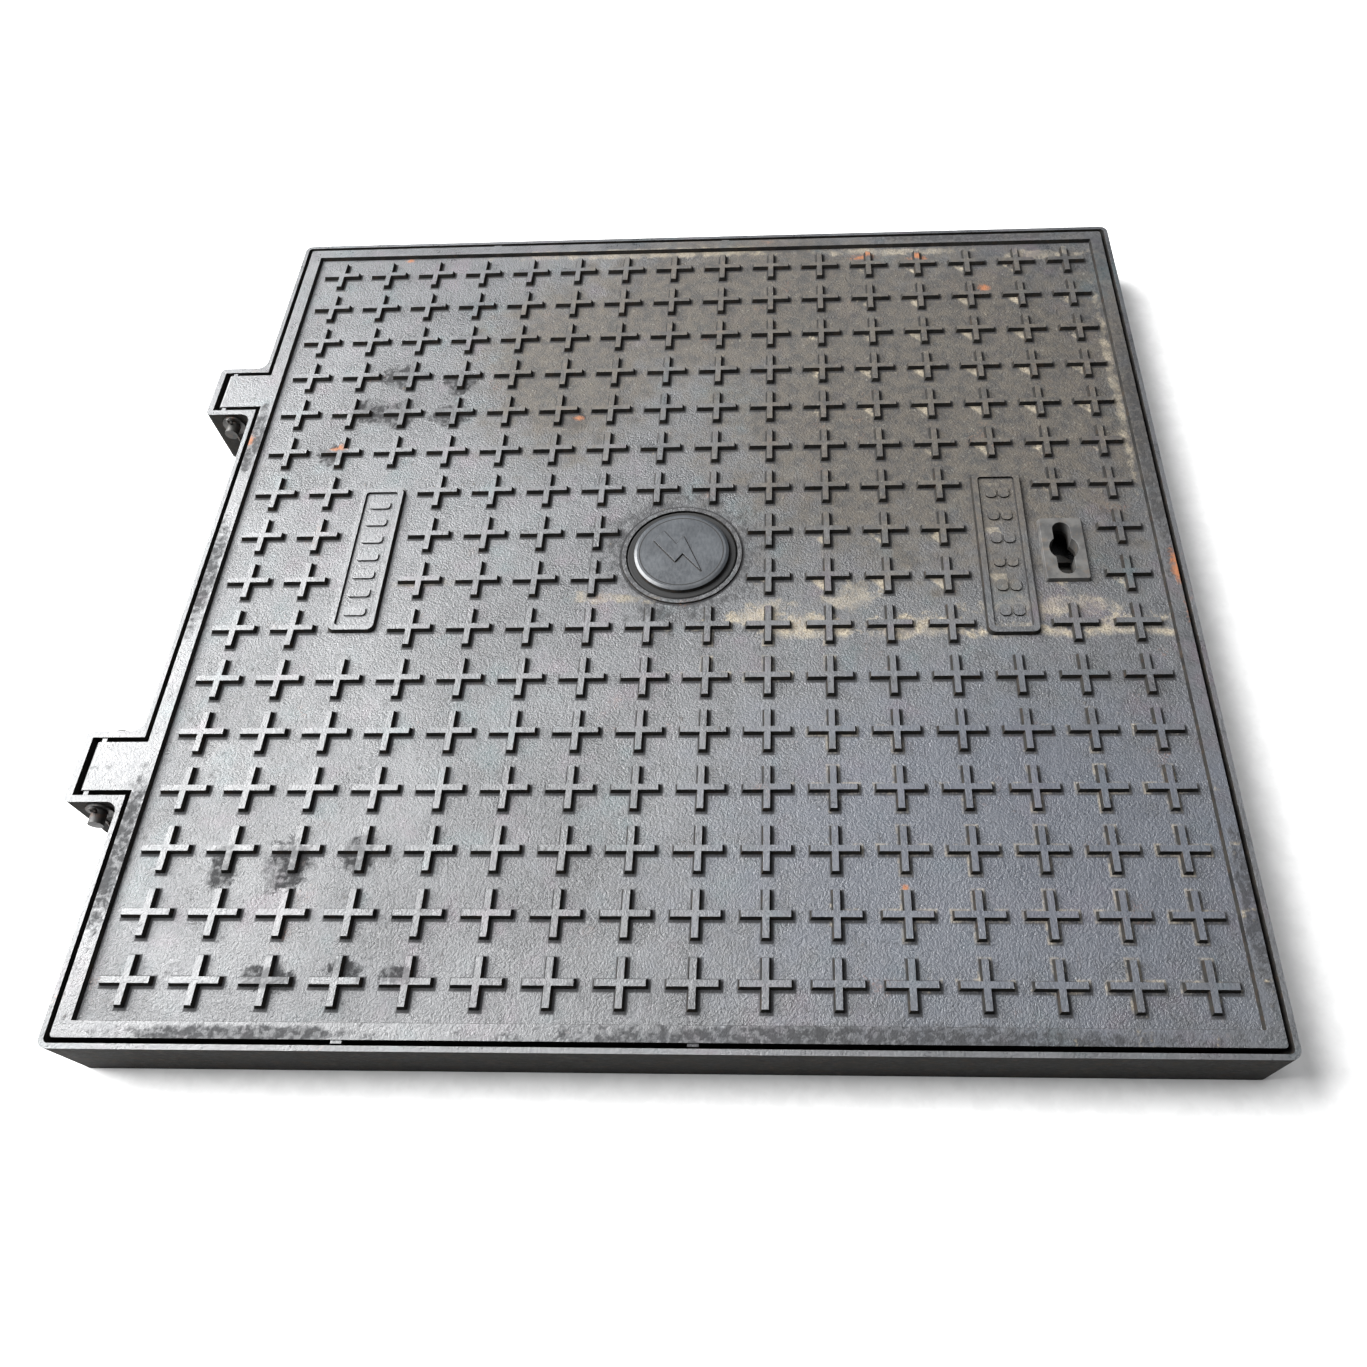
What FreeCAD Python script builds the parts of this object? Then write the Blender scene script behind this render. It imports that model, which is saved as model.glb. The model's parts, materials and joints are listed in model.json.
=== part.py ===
import FreeCAD, Part
import math
import os

# Square hinged manhole cover in its cast frame, with a key-operated lock.
# Millimetres. The origin is the centre of the clear opening at the underside
# of the frame's base flange. +Z is up, -X is the hinge side, -Y is the front.

vector = FreeCAD.Vector

# ---------------------------------------------------------------- frame
frame_side = 880.0
frame_height = 60.0
frame_corner_radius = 8.0
rim_width = 4.0
rim_inner_radius = 4.0
wall_foot_width = 8.0
flange_thickness = 8.0
clear_opening = 800.0
corner_plate_leg = 75.0
anchor_hole_radius = 7.0
anchor_inset = 15.0

# ---------------------------------------------------------------- hinge boxes
hinge_spacing = 428.0
box_reach = 46.0
box_width = 65.0
box_wall = 6.0
box_corner_radius = 5.0
box_root_radius = 10.0
swing_relief = 1.5
swing_relief_drop = 8.0
tongue_width = 44.0
tongue_end_gap = 4.0
tongue_thickness = 10.0
tongue_nose_radius = 4.0
pin_radius = 6.0
pin_running_clearance = 0.05
pin_drop = 14.0
pin_inset = 24.0
pin_head_radius = 9.0
pin_head_thickness = 4.0
pin_tail = 12.0
hinge_boss_radius = 11.0
washer_thickness = 2.0
washer_radius = 11.0
split_pin_radius = 1.2
split_pin_eye_radius = 2.2
split_pin_leg = 16.0
split_pin_clearance = 0.2
split_pin_offset = 0.6
split_pin_bend = (0.35, -0.6, -1.0)
washer_clearance = 0.2

# ---------------------------------------------------------------- seat
gasket_thickness = 2.7
gasket_width = 14.0
gasket_side_gap = 0.5
seat_clearance = 0.3

# ---------------------------------------------------------------- cover
cover_gap = 4.0
cover_corner_radius = 2.5
relief_height = 4.0
relief_draft = 1.2
band_width = 12.0
panel_thickness = 8.0
skirt_width = 14.0
rib_thickness = 8.0
rib_depth = 20.0
rib_count = 8
spacer_width = 8.0
spacer_clearance = 0.6
spacer_height = 12.0
spacer_drop = 1.0
spacer_root = 2.0
front_spacers = (-224.0, 28.0)

# ---------------------------------------------------------------- tread
cross_pitch = 52.0
cross_count = 16
cross_length = 37.0
cross_arm_width = 5.0
badge_cells = (7, 8)
label_rows = (6, 7, 8, 9)
left_label_column = 2
right_label_column = 13
keyhole_column = 14
keyhole_rows = (7, 8)

# ---------------------------------------------------------------- label frames
left_label_size = (40.0, 162.0)
right_label_size = (43.0, 178.0)
label_border = 5.0
label_radius = 6.0
label_recess = 2.0
label_bar_height = 1.6
left_bar_count = 7
right_stud_rows = 6
stud_gap = 2.0
bar_fill = 0.45
bar_rounding = 0.15

# ---------------------------------------------------------------- badge
badge_bore_radius = 50.3
badge_ring_width = 3.7
badge_ring_height = 1.5
badge_ledge_depth = 5.0
badge_hole_radius = 34.0
badge_gap = 1.3
badge_flange_height = 4.5
badge_disc_radius = 43.0
badge_top_radius = 40.0
badge_stand = 1.5
badge_edge_chamfer = 1.2
badge_rim_chamfer = 1.0
badge_side_draft = 0.5
badge_seal_thickness = 1.5
badge_seal_width = 9.0
badge_boss_radius = 58.0
badge_boss_depth = 12.0
badge_stud_radius = 6.0
badge_stud_tail = 14.0
bolt_sign_height = 1.4
bolt_sign_turn = 55.0
bolt_sign_outline = ((-5, 27), (9, 27), (3, 8), (14, 8), (-8, -28), (-2, -3), (-13, -3))
clamp_bar_length = 78.0
clamp_bar_width = 24.0
clamp_bar_thickness = 6.0
badge_washer_thickness = 2.0
badge_nut_height = 9.0

# ---------------------------------------------------------------- keyhole and lock
keyhole_plate_size = (37.0, 67.0)
keyhole_spigot_size = (34.0, 64.0)
spigot_clearance = 0.5
keyhole_middle_radius = 12.8
keyhole_end_radius = 7.8
keyhole_length = 57.4
keyhole_screw_spacing = (25.0, 52.0)
keyhole_clamp_size = (50.0, 76.0)
keyhole_clamp_thickness = 4.0
keyhole_plate_corner = 2.0
keyhole_clamp_corner = 4.0
keyhole_screw_radius = 2.5
keyhole_screw_head = (7.0, 3.0)
lock_bay_size = (110.0, 130.0)
cup_inner_size = (64.0, 80.0)
cup_wall = 2.5
cup_floor = 3.0
cup_depth = 28.0
cup_flange_size = (92.0, 108.0)
cup_flange_thickness = 4.0
cup_screw_spacing = (78.0, 94.0)
cup_screw_radius = 3.0
cup_screw_grip = 5.5
cup_screw_end_gap = 0.5
cup_screw_head = (10.0, 4.0)
cup_corner_radius = 8.0
spindle_radius = 8.0
spindle_head_radius = 13.0
spindle_head_height = 10.0
spindle_square = 11.0
square_clearance = 0.1
key_slot_width = 8.0
key_slot_depth = 7.0
lock_washer_thickness = 1.5
lock_spring_height = 2.5
lock_spring_land = 1.0
cam_thickness = 5.0
cam_reach = 60.0
cam_width = 20.0
cam_hub_radius = 14.0
lock_nut_height = 6.0
lock_nut_width = 18.0
keeper_play = 2.0
keeper_bar_thickness = 5.0
keeper_web_thickness = 5.0
keeper_web_clearance = 4.0
keeper_overlap = 12.0
keeper_width = 36.0
keeper_foot_length = 80.0
keeper_foot_thickness = 4.0
keeper_foot_width = 12.0
keeper_bolt_spacing = 60.0
keeper_bolt_radius = 3.0
keeper_bolt_head = (10.0, 4.0)
keeper_bolt_tip = 1.0
thread_gap = 0.3

# ---------------------------------------------------------------- modelling margins
overrun = 1.0      # how far a cutter runs past a face, or a solid into the one it joins
touch = 0.01       # joins two faces that would otherwise only meet
same_place = 1e-6
near_place = 0.1

# ---------------------------------------------------------------- worked-out places
half_frame = frame_side / 2
rim_inner = half_frame - rim_width
wall_taper = (wall_foot_width - rim_width) / (frame_height - flange_thickness)
half_cover = rim_inner - cover_gap
cover_bottom = flange_thickness + gasket_thickness + seat_clearance
panel_top = frame_height - relief_height
panel_bottom = panel_top - panel_thickness
rib_bottom = panel_bottom - rib_depth
skirt_inner = half_cover - skirt_width
box_outer = half_frame + box_reach
box_inner = box_outer - box_wall
box_half_width = box_width / 2
box_half_inner = box_half_width - box_wall
hinge_ys = (-hinge_spacing / 2, hinge_spacing / 2)
tongue_tip = -(box_inner - tongue_end_gap)
pin_x = -(box_outer - pin_inset)
pin_z = frame_height - pin_drop
pin_hole_radius = pin_radius + pin_running_clearance
tongue_side_gap = box_half_inner - tongue_width / 2
lock_x = (keyhole_column - (cross_count - 1) / 2) * cross_pitch
lock_y = 0.0
cup_bottom = panel_bottom - cup_depth
cup_floor_top = cup_bottom + cup_floor
lock_spring_top = cup_bottom - lock_washer_thickness
cam_top = lock_spring_top - lock_spring_height
cam_bottom = cam_top - cam_thickness
nut_bottom = cam_bottom - lock_nut_height
badge_ledge = panel_top - badge_ledge_depth
badge_bottom = badge_ledge + badge_seal_thickness
badge_top = frame_height + badge_stand
badge_boss_bottom = panel_bottom - badge_boss_depth


# ---------------------------------------------------------------- shape helpers
def block(x0, x1, y0, y1, z0, z1):
    return Part.makeBox(x1 - x0, y1 - y0, z1 - z0, vector(x0, y0, z0))


def upright_cylinder(x, y, radius, z0, z1):
    return Part.makeCylinder(radius, z1 - z0, vector(x, y, z0))


def cross_cylinder(x, z, radius, y0, y1):
    return Part.makeCylinder(radius, y1 - y0, vector(x, y0, z), vector(0, 1, 0))


def prism(points, z0, z1):
    corners = [vector(x, y, z0) for x, y in points]
    face = Part.Face(Part.makePolygon(corners + corners[:1]))
    return face.extrude(vector(0, 0, z1 - z0))


def drafted_prism(lower, z0, upper, z1):
    """Solid between two outlines with the same number of corners."""
    low = [vector(x, y, z0) for x, y in lower]
    high = [vector(x, y, z1) for x, y in upper]
    faces = [Part.Face(Part.makePolygon(low + low[:1])), Part.Face(Part.makePolygon(high + high[:1]))]
    for i in range(len(low)):
        j = (i + 1) % len(low)
        faces.append(Part.Face(Part.makePolygon([low[i], low[j], high[j], high[i], low[i]])))
    return Part.makeSolid(Part.makeShell(faces))


def rounded_outline(x, y, size_x, size_y, radius, z):
    """Closed wire of a rectangle with rounded corners, centred on x, y."""
    half_x, half_y = size_x / 2, size_y / 2
    turn = radius * (1 - math.sqrt(0.5))
    edges = []
    for side in range(4):
        angle = math.radians(90 * side)
        ux, uy = round(math.cos(angle)), round(math.sin(angle))
        reach = half_x if ux else half_y
        across = half_y if ux else half_x
        start = vector(x + ux * reach + uy * (across - radius), y + uy * reach - ux * (across - radius), z)
        end = vector(x + ux * reach - uy * (across - radius), y + uy * reach + ux * (across - radius), z)
        middle = vector(x + ux * (reach - turn) - uy * (across - turn),
                        y + uy * (reach - turn) + ux * (across - turn), z)
        after = vector(x + ux * (reach - radius) - uy * across, y + uy * (reach - radius) + ux * across, z)
        edges.append(Part.LineSegment(start, end).toShape())
        edges.append(Part.Arc(end, middle, after).toShape())
    return Part.Wire(edges)


def rounded_block(x, y, size_x, size_y, radius, z0, z1):
    return Part.Face(rounded_outline(x, y, size_x, size_y, radius, z0)).extrude(vector(0, 0, z1 - z0))


def tapered_block(x, y, lower_size, upper_size, radius, z0, z1):
    lower = rounded_outline(x, y, lower_size[0], lower_size[1], radius, z0)
    upper = rounded_outline(x, y, upper_size[0], upper_size[1], radius, z1)
    return Part.makeLoft([lower, upper], True, True)


def hexagon(x, y, width, z0, z1):
    corner = width / math.sqrt(3)
    points = [(x + corner * math.cos(math.radians(60 * k)), y + corner * math.sin(math.radians(60 * k)))
              for k in range(6)]
    return prism(points, z0, z1)


def turned(points):
    """Solid of revolution about the origin's Z axis from (radius, z) points."""
    corners = [vector(radius, 0, z) for radius, z in points]
    face = Part.Face(Part.makePolygon(corners + corners[:1]))
    return face.revolve(vector(0, 0, 0), vector(0, 0, 1), 360)


def square_points(half_x, half_y):
    return [(-half_x, -half_y), (half_x, -half_y), (half_x, half_y), (-half_x, half_y)]


def corners_of(spacing):
    return [(sx * spacing[0] / 2, sy * spacing[1] / 2) for sx in (-1, 1) for sy in (-1, 1)]


def bolt(x, y, radius, z_tip, z_under_head, head_width, head_height, upward=False):
    """Hexagon-headed bolt. Its head is above the shank, or below when upward."""
    shank = upright_cylinder(x, y, radius, min(z_tip, z_under_head), max(z_tip, z_under_head))
    if upward:
        return shank.fuse(hexagon(x, y, head_width, z_under_head - head_height, z_under_head))
    return shank.fuse(hexagon(x, y, head_width, z_under_head, z_under_head + head_height))


# ---------------------------------------------------------------- frame casting
def vertical_edges_near(shape, places, reach):
    found = []
    for edge in shape.Edges:
        start, end = edge.Vertexes[0].Point, edge.Vertexes[-1].Point
        upright = abs(start.x - end.x) < same_place and abs(start.y - end.y) < same_place
        if upright and any(math.hypot(start.x - x, start.y - y) < reach for x, y in places):
            found.append(edge)
    return found


def make_frame():
    outer = block(-half_frame, half_frame, -half_frame, half_frame, 0, frame_height)
    boxes = [block(-box_outer, -half_frame + rim_width, y - box_half_width, y + box_half_width,
                   0, frame_height)
             for y in hinge_ys]
    outer = outer.fuse(boxes).removeSplitter()
    frame_corners = [(sx * half_frame, sy * half_frame) for sx in (-1, 1) for sy in (-1, 1)]
    box_corners = [(-box_outer, y + side * box_half_width) for y in hinge_ys for side in (-1, 1)]
    box_roots = [(-half_frame, y + side * box_half_width) for y in hinge_ys for side in (-1, 1)]
    for places, radius in ((frame_corners, frame_corner_radius), (box_corners, box_corner_radius),
                           (box_roots, box_root_radius)):
        outer = outer.makeFillet(radius, vertical_edges_near(outer, places, near_place))

    foot_inner = 2 * (half_frame - wall_foot_width)
    well = tapered_block(0, 0, (foot_inner, foot_inner), (2 * rim_inner, 2 * rim_inner), rim_inner_radius,
                         flange_thickness, frame_height)
    cuts = [well, block(-clear_opening / 2, clear_opening / 2, -clear_opening / 2, clear_opening / 2,
                        -overrun, flange_thickness + overrun)]
    for y in hinge_ys:
        cuts.append(block(-box_inner, -skirt_inner, y - box_half_inner, y + box_half_inner,
                          flange_thickness, frame_height + overrun))
        cuts.append(block(-box_inner - swing_relief, pin_x, y - box_half_inner, y + box_half_inner,
                          flange_thickness, frame_height - swing_relief_drop))
        cuts.append(cross_cylinder(pin_x, pin_z, pin_hole_radius, y - box_width, y + box_width))
    frame = outer.cut(cuts)

    half_clear = clear_opening / 2
    plates = []
    for sx in (-1, 1):
        for sy in (-1, 1):
            outline = [(sx * (half_clear + overrun), sy * (half_clear + overrun)),
                       (sx * (half_clear - corner_plate_leg), sy * (half_clear + overrun)),
                       (sx * (half_clear - corner_plate_leg), sy * half_clear),
                       (sx * half_clear, sy * (half_clear - corner_plate_leg)),
                       (sx * (half_clear + overrun), sy * (half_clear - corner_plate_leg))]
            plates.append(prism(outline, 0, flange_thickness))
    frame = frame.fuse(plates).removeSplitter()

    anchor = half_clear - anchor_inset
    holes = [upright_cylinder(sx * anchor, sy * anchor, anchor_hole_radius,
                              -overrun, flange_thickness + overrun)
             for sx in (-1, 1) for sy in (-1, 1)]
    for side in (-1, 1):
        holes.append(upright_cylinder(keeper_foot_x(), side * keeper_bolt_spacing / 2,
                                      keeper_bolt_radius + thread_gap,
                                      -overrun, flange_thickness + overrun))
    return frame.cut(holes)


def make_seat_gasket():
    outer = 2 * (half_cover - wall_taper * (frame_height - flange_thickness) - gasket_side_gap)
    inner = outer - 2 * gasket_width
    top = flange_thickness + gasket_thickness
    ring = rounded_block(0, 0, outer, outer, cover_corner_radius, flange_thickness, top)
    return ring.cut(rounded_block(0, 0, inner, inner, cover_corner_radius,
                                  flange_thickness - overrun, top + overrun))


# ---------------------------------------------------------------- hinge hardware
def make_hinge_pin(y):
    tail_end = y - box_half_width - washer_thickness - pin_tail
    head_start = y + box_half_width
    shank = cross_cylinder(pin_x, pin_z, pin_radius, tail_end, head_start)
    head = cross_cylinder(pin_x, pin_z, pin_head_radius, head_start, head_start + pin_head_thickness)
    drilled = Part.makeCylinder(split_pin_radius + split_pin_clearance, 4 * pin_radius,
                                vector(pin_x, split_pin_y(y), pin_z - 2 * pin_radius))
    return shank.fuse(head).cut(drilled)


def split_pin_y(y):
    return y - box_half_width - washer_thickness - 2 * split_pin_radius - split_pin_offset


def make_hinge_washer(y):
    near = y - box_half_width
    ring = cross_cylinder(pin_x, pin_z, washer_radius, near - washer_thickness, near)
    return ring.cut(cross_cylinder(pin_x, pin_z, pin_radius + washer_clearance,
                                   near - 2 * washer_thickness, near + overrun))


def make_split_pin(y):
    """Cotter: an eye above the pin, and a leg that comes out below it and is bent outwards."""
    place = split_pin_y(y)
    eye_z = pin_z + pin_radius + split_pin_clearance + split_pin_radius + split_pin_eye_radius
    eye = Part.makeTorus(split_pin_eye_radius, split_pin_radius, vector(pin_x, place, eye_z),
                         vector(0, 1, 0))
    leg_end = pin_z - pin_radius - split_pin_leg / 2
    leg = Part.makeCylinder(split_pin_radius, eye_z - split_pin_eye_radius - leg_end,
                            vector(pin_x, place, leg_end))
    knee = Part.makeSphere(split_pin_radius, vector(pin_x, place, leg_end))
    bend = Part.makeCylinder(split_pin_radius, split_pin_leg / 2, vector(pin_x, place, leg_end),
                             vector(*split_pin_bend))
    return leg.fuse([eye, knee, bend])


# ---------------------------------------------------------------- cover casting
def cross_points(length, width):
    long, half = length / 2, width / 2
    return [(half, half), (half, long), (-half, long), (-half, half), (-long, half), (-long, -half),
            (-half, -half), (-half, -long), (half, -long), (half, -half), (long, -half), (long, half)]


def has_cross(column, row):
    if column in badge_cells and row in badge_cells:
        return False
    if column in (left_label_column, right_label_column) and row in label_rows:
        return False
    return not (column == keyhole_column and row in keyhole_rows)


def cell_centre(index):
    return (index - (cross_count - 1) / 2) * cross_pitch


def make_crosses():
    flare = 2 * relief_draft * (relief_height + overrun) / relief_height
    lower = cross_points(cross_length + flare, cross_arm_width + flare)
    upper = cross_points(cross_length, cross_arm_width)
    cross = drafted_prism(lower, panel_top - overrun, upper, frame_height)
    placed = []
    for column in range(cross_count):
        for row in range(cross_count):
            if has_cross(column, row):
                placed.append(cross.translated(vector(cell_centre(column), cell_centre(row), 0)))
    return placed


def make_label_frame(x, size):
    grown = (size[0] + 2 * relief_draft, size[1] + 2 * relief_draft)
    pad = tapered_block(x, 0, grown, size, label_radius, panel_top - touch, frame_height)
    recess_size = (size[0] - 2 * label_border, size[1] - 2 * label_border)
    floor = frame_height - label_recess
    recess = rounded_block(x, 0, recess_size[0], recess_size[1], label_radius / 2,
                           floor, frame_height + overrun)
    return pad.cut(recess)


def make_label_bars(x, size, count, columns):
    """Plain raised bars or studs where a maker would cast marks."""
    floor = frame_height - label_recess
    inner_x = size[0] - 4 * label_border
    step = (size[1] - 4 * label_border) / count
    stud_x = inner_x / columns - stud_gap * (columns - 1)
    bars = []
    for k in range(count):
        y = (k - (count - 1) / 2) * step
        for c in range(columns):
            bar_x = x + (c - (columns - 1) / 2) * inner_x / columns
            bars.append(rounded_block(bar_x, y, stud_x, step * bar_fill, step * bar_rounding,
                                      floor - touch, floor + label_bar_height))
    return bars


def make_tongue(y):
    half = tongue_width / 2
    root = -skirt_inner
    plate = block(tongue_tip, root, y - half, y + half, frame_height - tongue_thickness, frame_height)
    nose = [edge for edge in plate.Edges
            if all(abs(v.Point.x - tongue_tip) < same_place and abs(v.Point.z - frame_height) < same_place
                   for v in edge.Vertexes)]
    plate = plate.makeFillet(tongue_nose_radius, nose)
    boss = cross_cylinder(pin_x, pin_z, hinge_boss_radius, y - half, y + half)
    web = block(pin_x, root, y - half, y + half, pin_z - hinge_boss_radius + overrun,
                frame_height - tongue_thickness + overrun)
    tongue = plate.fuse([boss, web])
    nub_x = tongue_tip + spacer_width
    for side in (-1, 1):
        edge = y + side * half
        reach = edge + side * (tongue_side_gap - spacer_clearance)
        low, high = sorted((edge - side, reach))
        tongue = tongue.fuse(block(nub_x - spacer_width / 2, nub_x, low, high,
                                   frame_height - tongue_thickness, frame_height - spacer_drop))
    return tongue


def make_front_spacer(x, side):
    edge = half_cover - wall_taper * spacer_height
    reach = half_cover + cover_gap - wall_taper * (spacer_height + spacer_drop) - spacer_clearance
    low, high = sorted((side * (edge - spacer_root), side * reach))
    return block(x - spacer_width / 2, x + spacer_width / 2, low, high,
                 frame_height - spacer_height, frame_height - spacer_drop)


def rib_places():
    pitch = 2 * skirt_inner / (rib_count + 1)
    return [-skirt_inner + pitch * (k + 1) for k in range(rib_count)]


def make_ribs():
    half = rib_thickness / 2
    reach = skirt_inner + overrun
    rib_top = panel_bottom + overrun
    along_y = [block(p - half, p + half, -reach, reach, rib_bottom, rib_top) for p in rib_places()]
    along_x = [block(-reach, reach, p - half, p + half, rib_bottom, rib_top) for p in rib_places()]
    grid = along_y[0].fuse(along_y[1:] + along_x)
    bay_x, bay_y = lock_bay_size[0] / 2, lock_bay_size[1] / 2
    bay = block(lock_x - bay_x, lock_x + bay_x, lock_y - bay_y, lock_y + bay_y,
                rib_bottom - overrun, panel_bottom)
    wall = block(lock_x - bay_x - rib_thickness, lock_x + bay_x + rib_thickness,
                 lock_y - bay_y - rib_thickness, lock_y + bay_y + rib_thickness, rib_bottom, rib_top)
    grid = grid.fuse(wall.common(block(-reach, reach, -reach, reach, 0, frame_height)))
    badge_well = upright_cylinder(0, 0, badge_boss_radius - rib_thickness,
                                  rib_bottom - overrun, panel_bottom)
    return grid.cut([bay, badge_well])


def make_cover():
    drop = wall_taper * (frame_height - cover_bottom)
    top_size = (2 * half_cover, 2 * half_cover)
    bottom_size = (2 * (half_cover - drop), 2 * (half_cover - drop))
    body = tapered_block(0, 0, bottom_size, top_size, cover_corner_radius, cover_bottom, frame_height)
    hollow = block(-skirt_inner, skirt_inner, -skirt_inner, skirt_inner,
                   cover_bottom - overrun, panel_bottom)
    inner_top = half_cover - band_width
    panel = drafted_prism(square_points(inner_top - relief_draft, inner_top - relief_draft), panel_top,
                          square_points(inner_top, inner_top), frame_height)
    body = body.cut([hollow, panel])

    additions = [make_ribs()]
    additions += [make_tongue(y) for y in hinge_ys]
    additions += [make_front_spacer(x, side) for x in front_spacers for side in (-1, 1)]
    additions.append(upright_cylinder(0, 0, badge_boss_radius, badge_boss_bottom, panel_bottom + overrun))
    ring_outer = badge_bore_radius + badge_ring_width
    additions.append(Part.makeCone(ring_outer + overrun, ring_outer, badge_ring_height + overrun,
                                   vector(0, 0, panel_top - overrun)))
    for column, size, count, columns in ((left_label_column, left_label_size, left_bar_count, 1),
                                         (right_label_column, right_label_size, right_stud_rows, 2)):
        x = cell_centre(column)
        additions.append(make_label_frame(x, size).fuse(make_label_bars(x, size, count, columns)))
    body = body.fuse(additions + make_crosses())

    holes = [cross_cylinder(pin_x, pin_z, pin_hole_radius, y - box_width, y + box_width) for y in hinge_ys]
    holes.append(upright_cylinder(0, 0, badge_bore_radius, badge_ledge, frame_height + overrun))
    holes.append(upright_cylinder(0, 0, badge_hole_radius,
                                  badge_boss_bottom - overrun, badge_ledge + overrun))
    spigot = [size + 2 * spigot_clearance for size in keyhole_spigot_size]
    holes.append(rounded_block(lock_x, lock_y, spigot[0], spigot[1], keyhole_plate_corner,
                               panel_bottom - overrun, frame_height + overrun))
    for dx, dy in corners_of(cup_screw_spacing):
        holes.append(upright_cylinder(lock_x + dx, lock_y + dy, cup_screw_radius + thread_gap,
                                      panel_bottom - overrun,
                                      panel_bottom + cup_screw_grip + cup_screw_end_gap))
    return body.cut(holes)


# ---------------------------------------------------------------- badge
def make_badge():
    flange_radius = badge_bore_radius - badge_gap
    flange_top = badge_bottom + badge_flange_height
    profile = [(0, badge_bottom), (flange_radius, badge_bottom),
               (flange_radius, flange_top - badge_rim_chamfer),
               (flange_radius - badge_rim_chamfer, flange_top),
               (badge_disc_radius + badge_side_draft, flange_top),
               (badge_disc_radius - badge_side_draft, badge_top - badge_edge_chamfer),
               (badge_top_radius, badge_top), (0, badge_top)]
    stud_end = badge_boss_bottom - clamp_bar_thickness - badge_stud_tail
    stud = upright_cylinder(0, 0, badge_stud_radius, stud_end, badge_bottom + overrun)
    return turned(profile).fuse([stud, make_bolt_sign()])


def make_bolt_sign():
    """A plain lightning flash, flat-topped and single-pointed."""
    turn = math.radians(bolt_sign_turn)
    placed = [(x * math.cos(turn) - y * math.sin(turn), x * math.sin(turn) + y * math.cos(turn))
              for x, y in bolt_sign_outline]
    return prism(placed, badge_top - overrun, badge_top + bolt_sign_height)


def make_badge_seal():
    outer = badge_bore_radius - badge_gap
    ring = upright_cylinder(0, 0, outer, badge_ledge, badge_bottom)
    return ring.cut(upright_cylinder(0, 0, outer - badge_seal_width,
                                     badge_ledge - overrun, badge_bottom + overrun))


def make_badge_clamp_bar():
    top = badge_boss_bottom
    bar = block(-clamp_bar_length / 2, clamp_bar_length / 2, -clamp_bar_width / 2, clamp_bar_width / 2,
                top - clamp_bar_thickness, top)
    return bar.cut(upright_cylinder(0, 0, badge_stud_radius + thread_gap,
                                    top - clamp_bar_thickness - overrun, top + overrun))


def make_badge_washer():
    top = badge_boss_bottom - clamp_bar_thickness
    ring = upright_cylinder(0, 0, 2 * badge_stud_radius, top - badge_washer_thickness, top)
    return ring.cut(upright_cylinder(0, 0, badge_stud_radius + thread_gap,
                                     top - badge_washer_thickness - overrun, top + overrun))


def make_badge_nut():
    top = badge_boss_bottom - clamp_bar_thickness - badge_washer_thickness
    nut = hexagon(0, 0, 3 * badge_stud_radius, top - badge_nut_height, top)
    return nut.cut(upright_cylinder(0, 0, badge_stud_radius, top - badge_nut_height - overrun, top + overrun))


# ---------------------------------------------------------------- keyhole
def keyhole_cutter(z0, z1):
    lobe_y = keyhole_length / 2 - keyhole_end_radius
    middle = upright_cylinder(lock_x, lock_y, keyhole_middle_radius, z0, z1)
    ends = [upright_cylinder(lock_x, lock_y + side * lobe_y, keyhole_end_radius, z0, z1)
            for side in (-1, 1)]
    neck = block(lock_x - keyhole_end_radius, lock_x + keyhole_end_radius,
                 lock_y - lobe_y, lock_y + lobe_y, z0, z1)
    return middle.fuse(ends + [neck])


def make_keyhole_plate():
    grown = [size + 2 * relief_draft for size in keyhole_plate_size]
    plate = tapered_block(lock_x, lock_y, grown, keyhole_plate_size, keyhole_plate_corner,
                          panel_top, frame_height)
    spigot = rounded_block(lock_x, lock_y, keyhole_spigot_size[0], keyhole_spigot_size[1],
                           keyhole_plate_corner, panel_bottom, panel_top + overrun)
    plate = plate.fuse(spigot).cut(keyhole_cutter(panel_bottom - overrun, frame_height + overrun))
    holes = [upright_cylinder(lock_x + dx, lock_y + dy, keyhole_screw_radius,
                              panel_bottom - overrun, panel_top + overrun)
             for dx, dy in corners_of(keyhole_screw_spacing)]
    return plate.cut(holes)


def make_keyhole_clamp_plate():
    bottom = panel_bottom - keyhole_clamp_thickness
    plate = rounded_block(lock_x, lock_y, keyhole_clamp_size[0], keyhole_clamp_size[1],
                          keyhole_clamp_corner, bottom, panel_bottom)
    holes = [upright_cylinder(lock_x + dx, lock_y + dy, keyhole_screw_radius + thread_gap,
                              bottom - overrun, panel_bottom + overrun)
             for dx, dy in corners_of(keyhole_screw_spacing)]
    return plate.cut(holes + [keyhole_cutter(bottom - overrun, panel_bottom + overrun)])


def make_keyhole_screws():
    under_head = panel_bottom - keyhole_clamp_thickness
    return [bolt(lock_x + dx, lock_y + dy, keyhole_screw_radius, panel_top, under_head,
                 *keyhole_screw_head, upward=True)
            for dx, dy in corners_of(keyhole_screw_spacing)]


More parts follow.
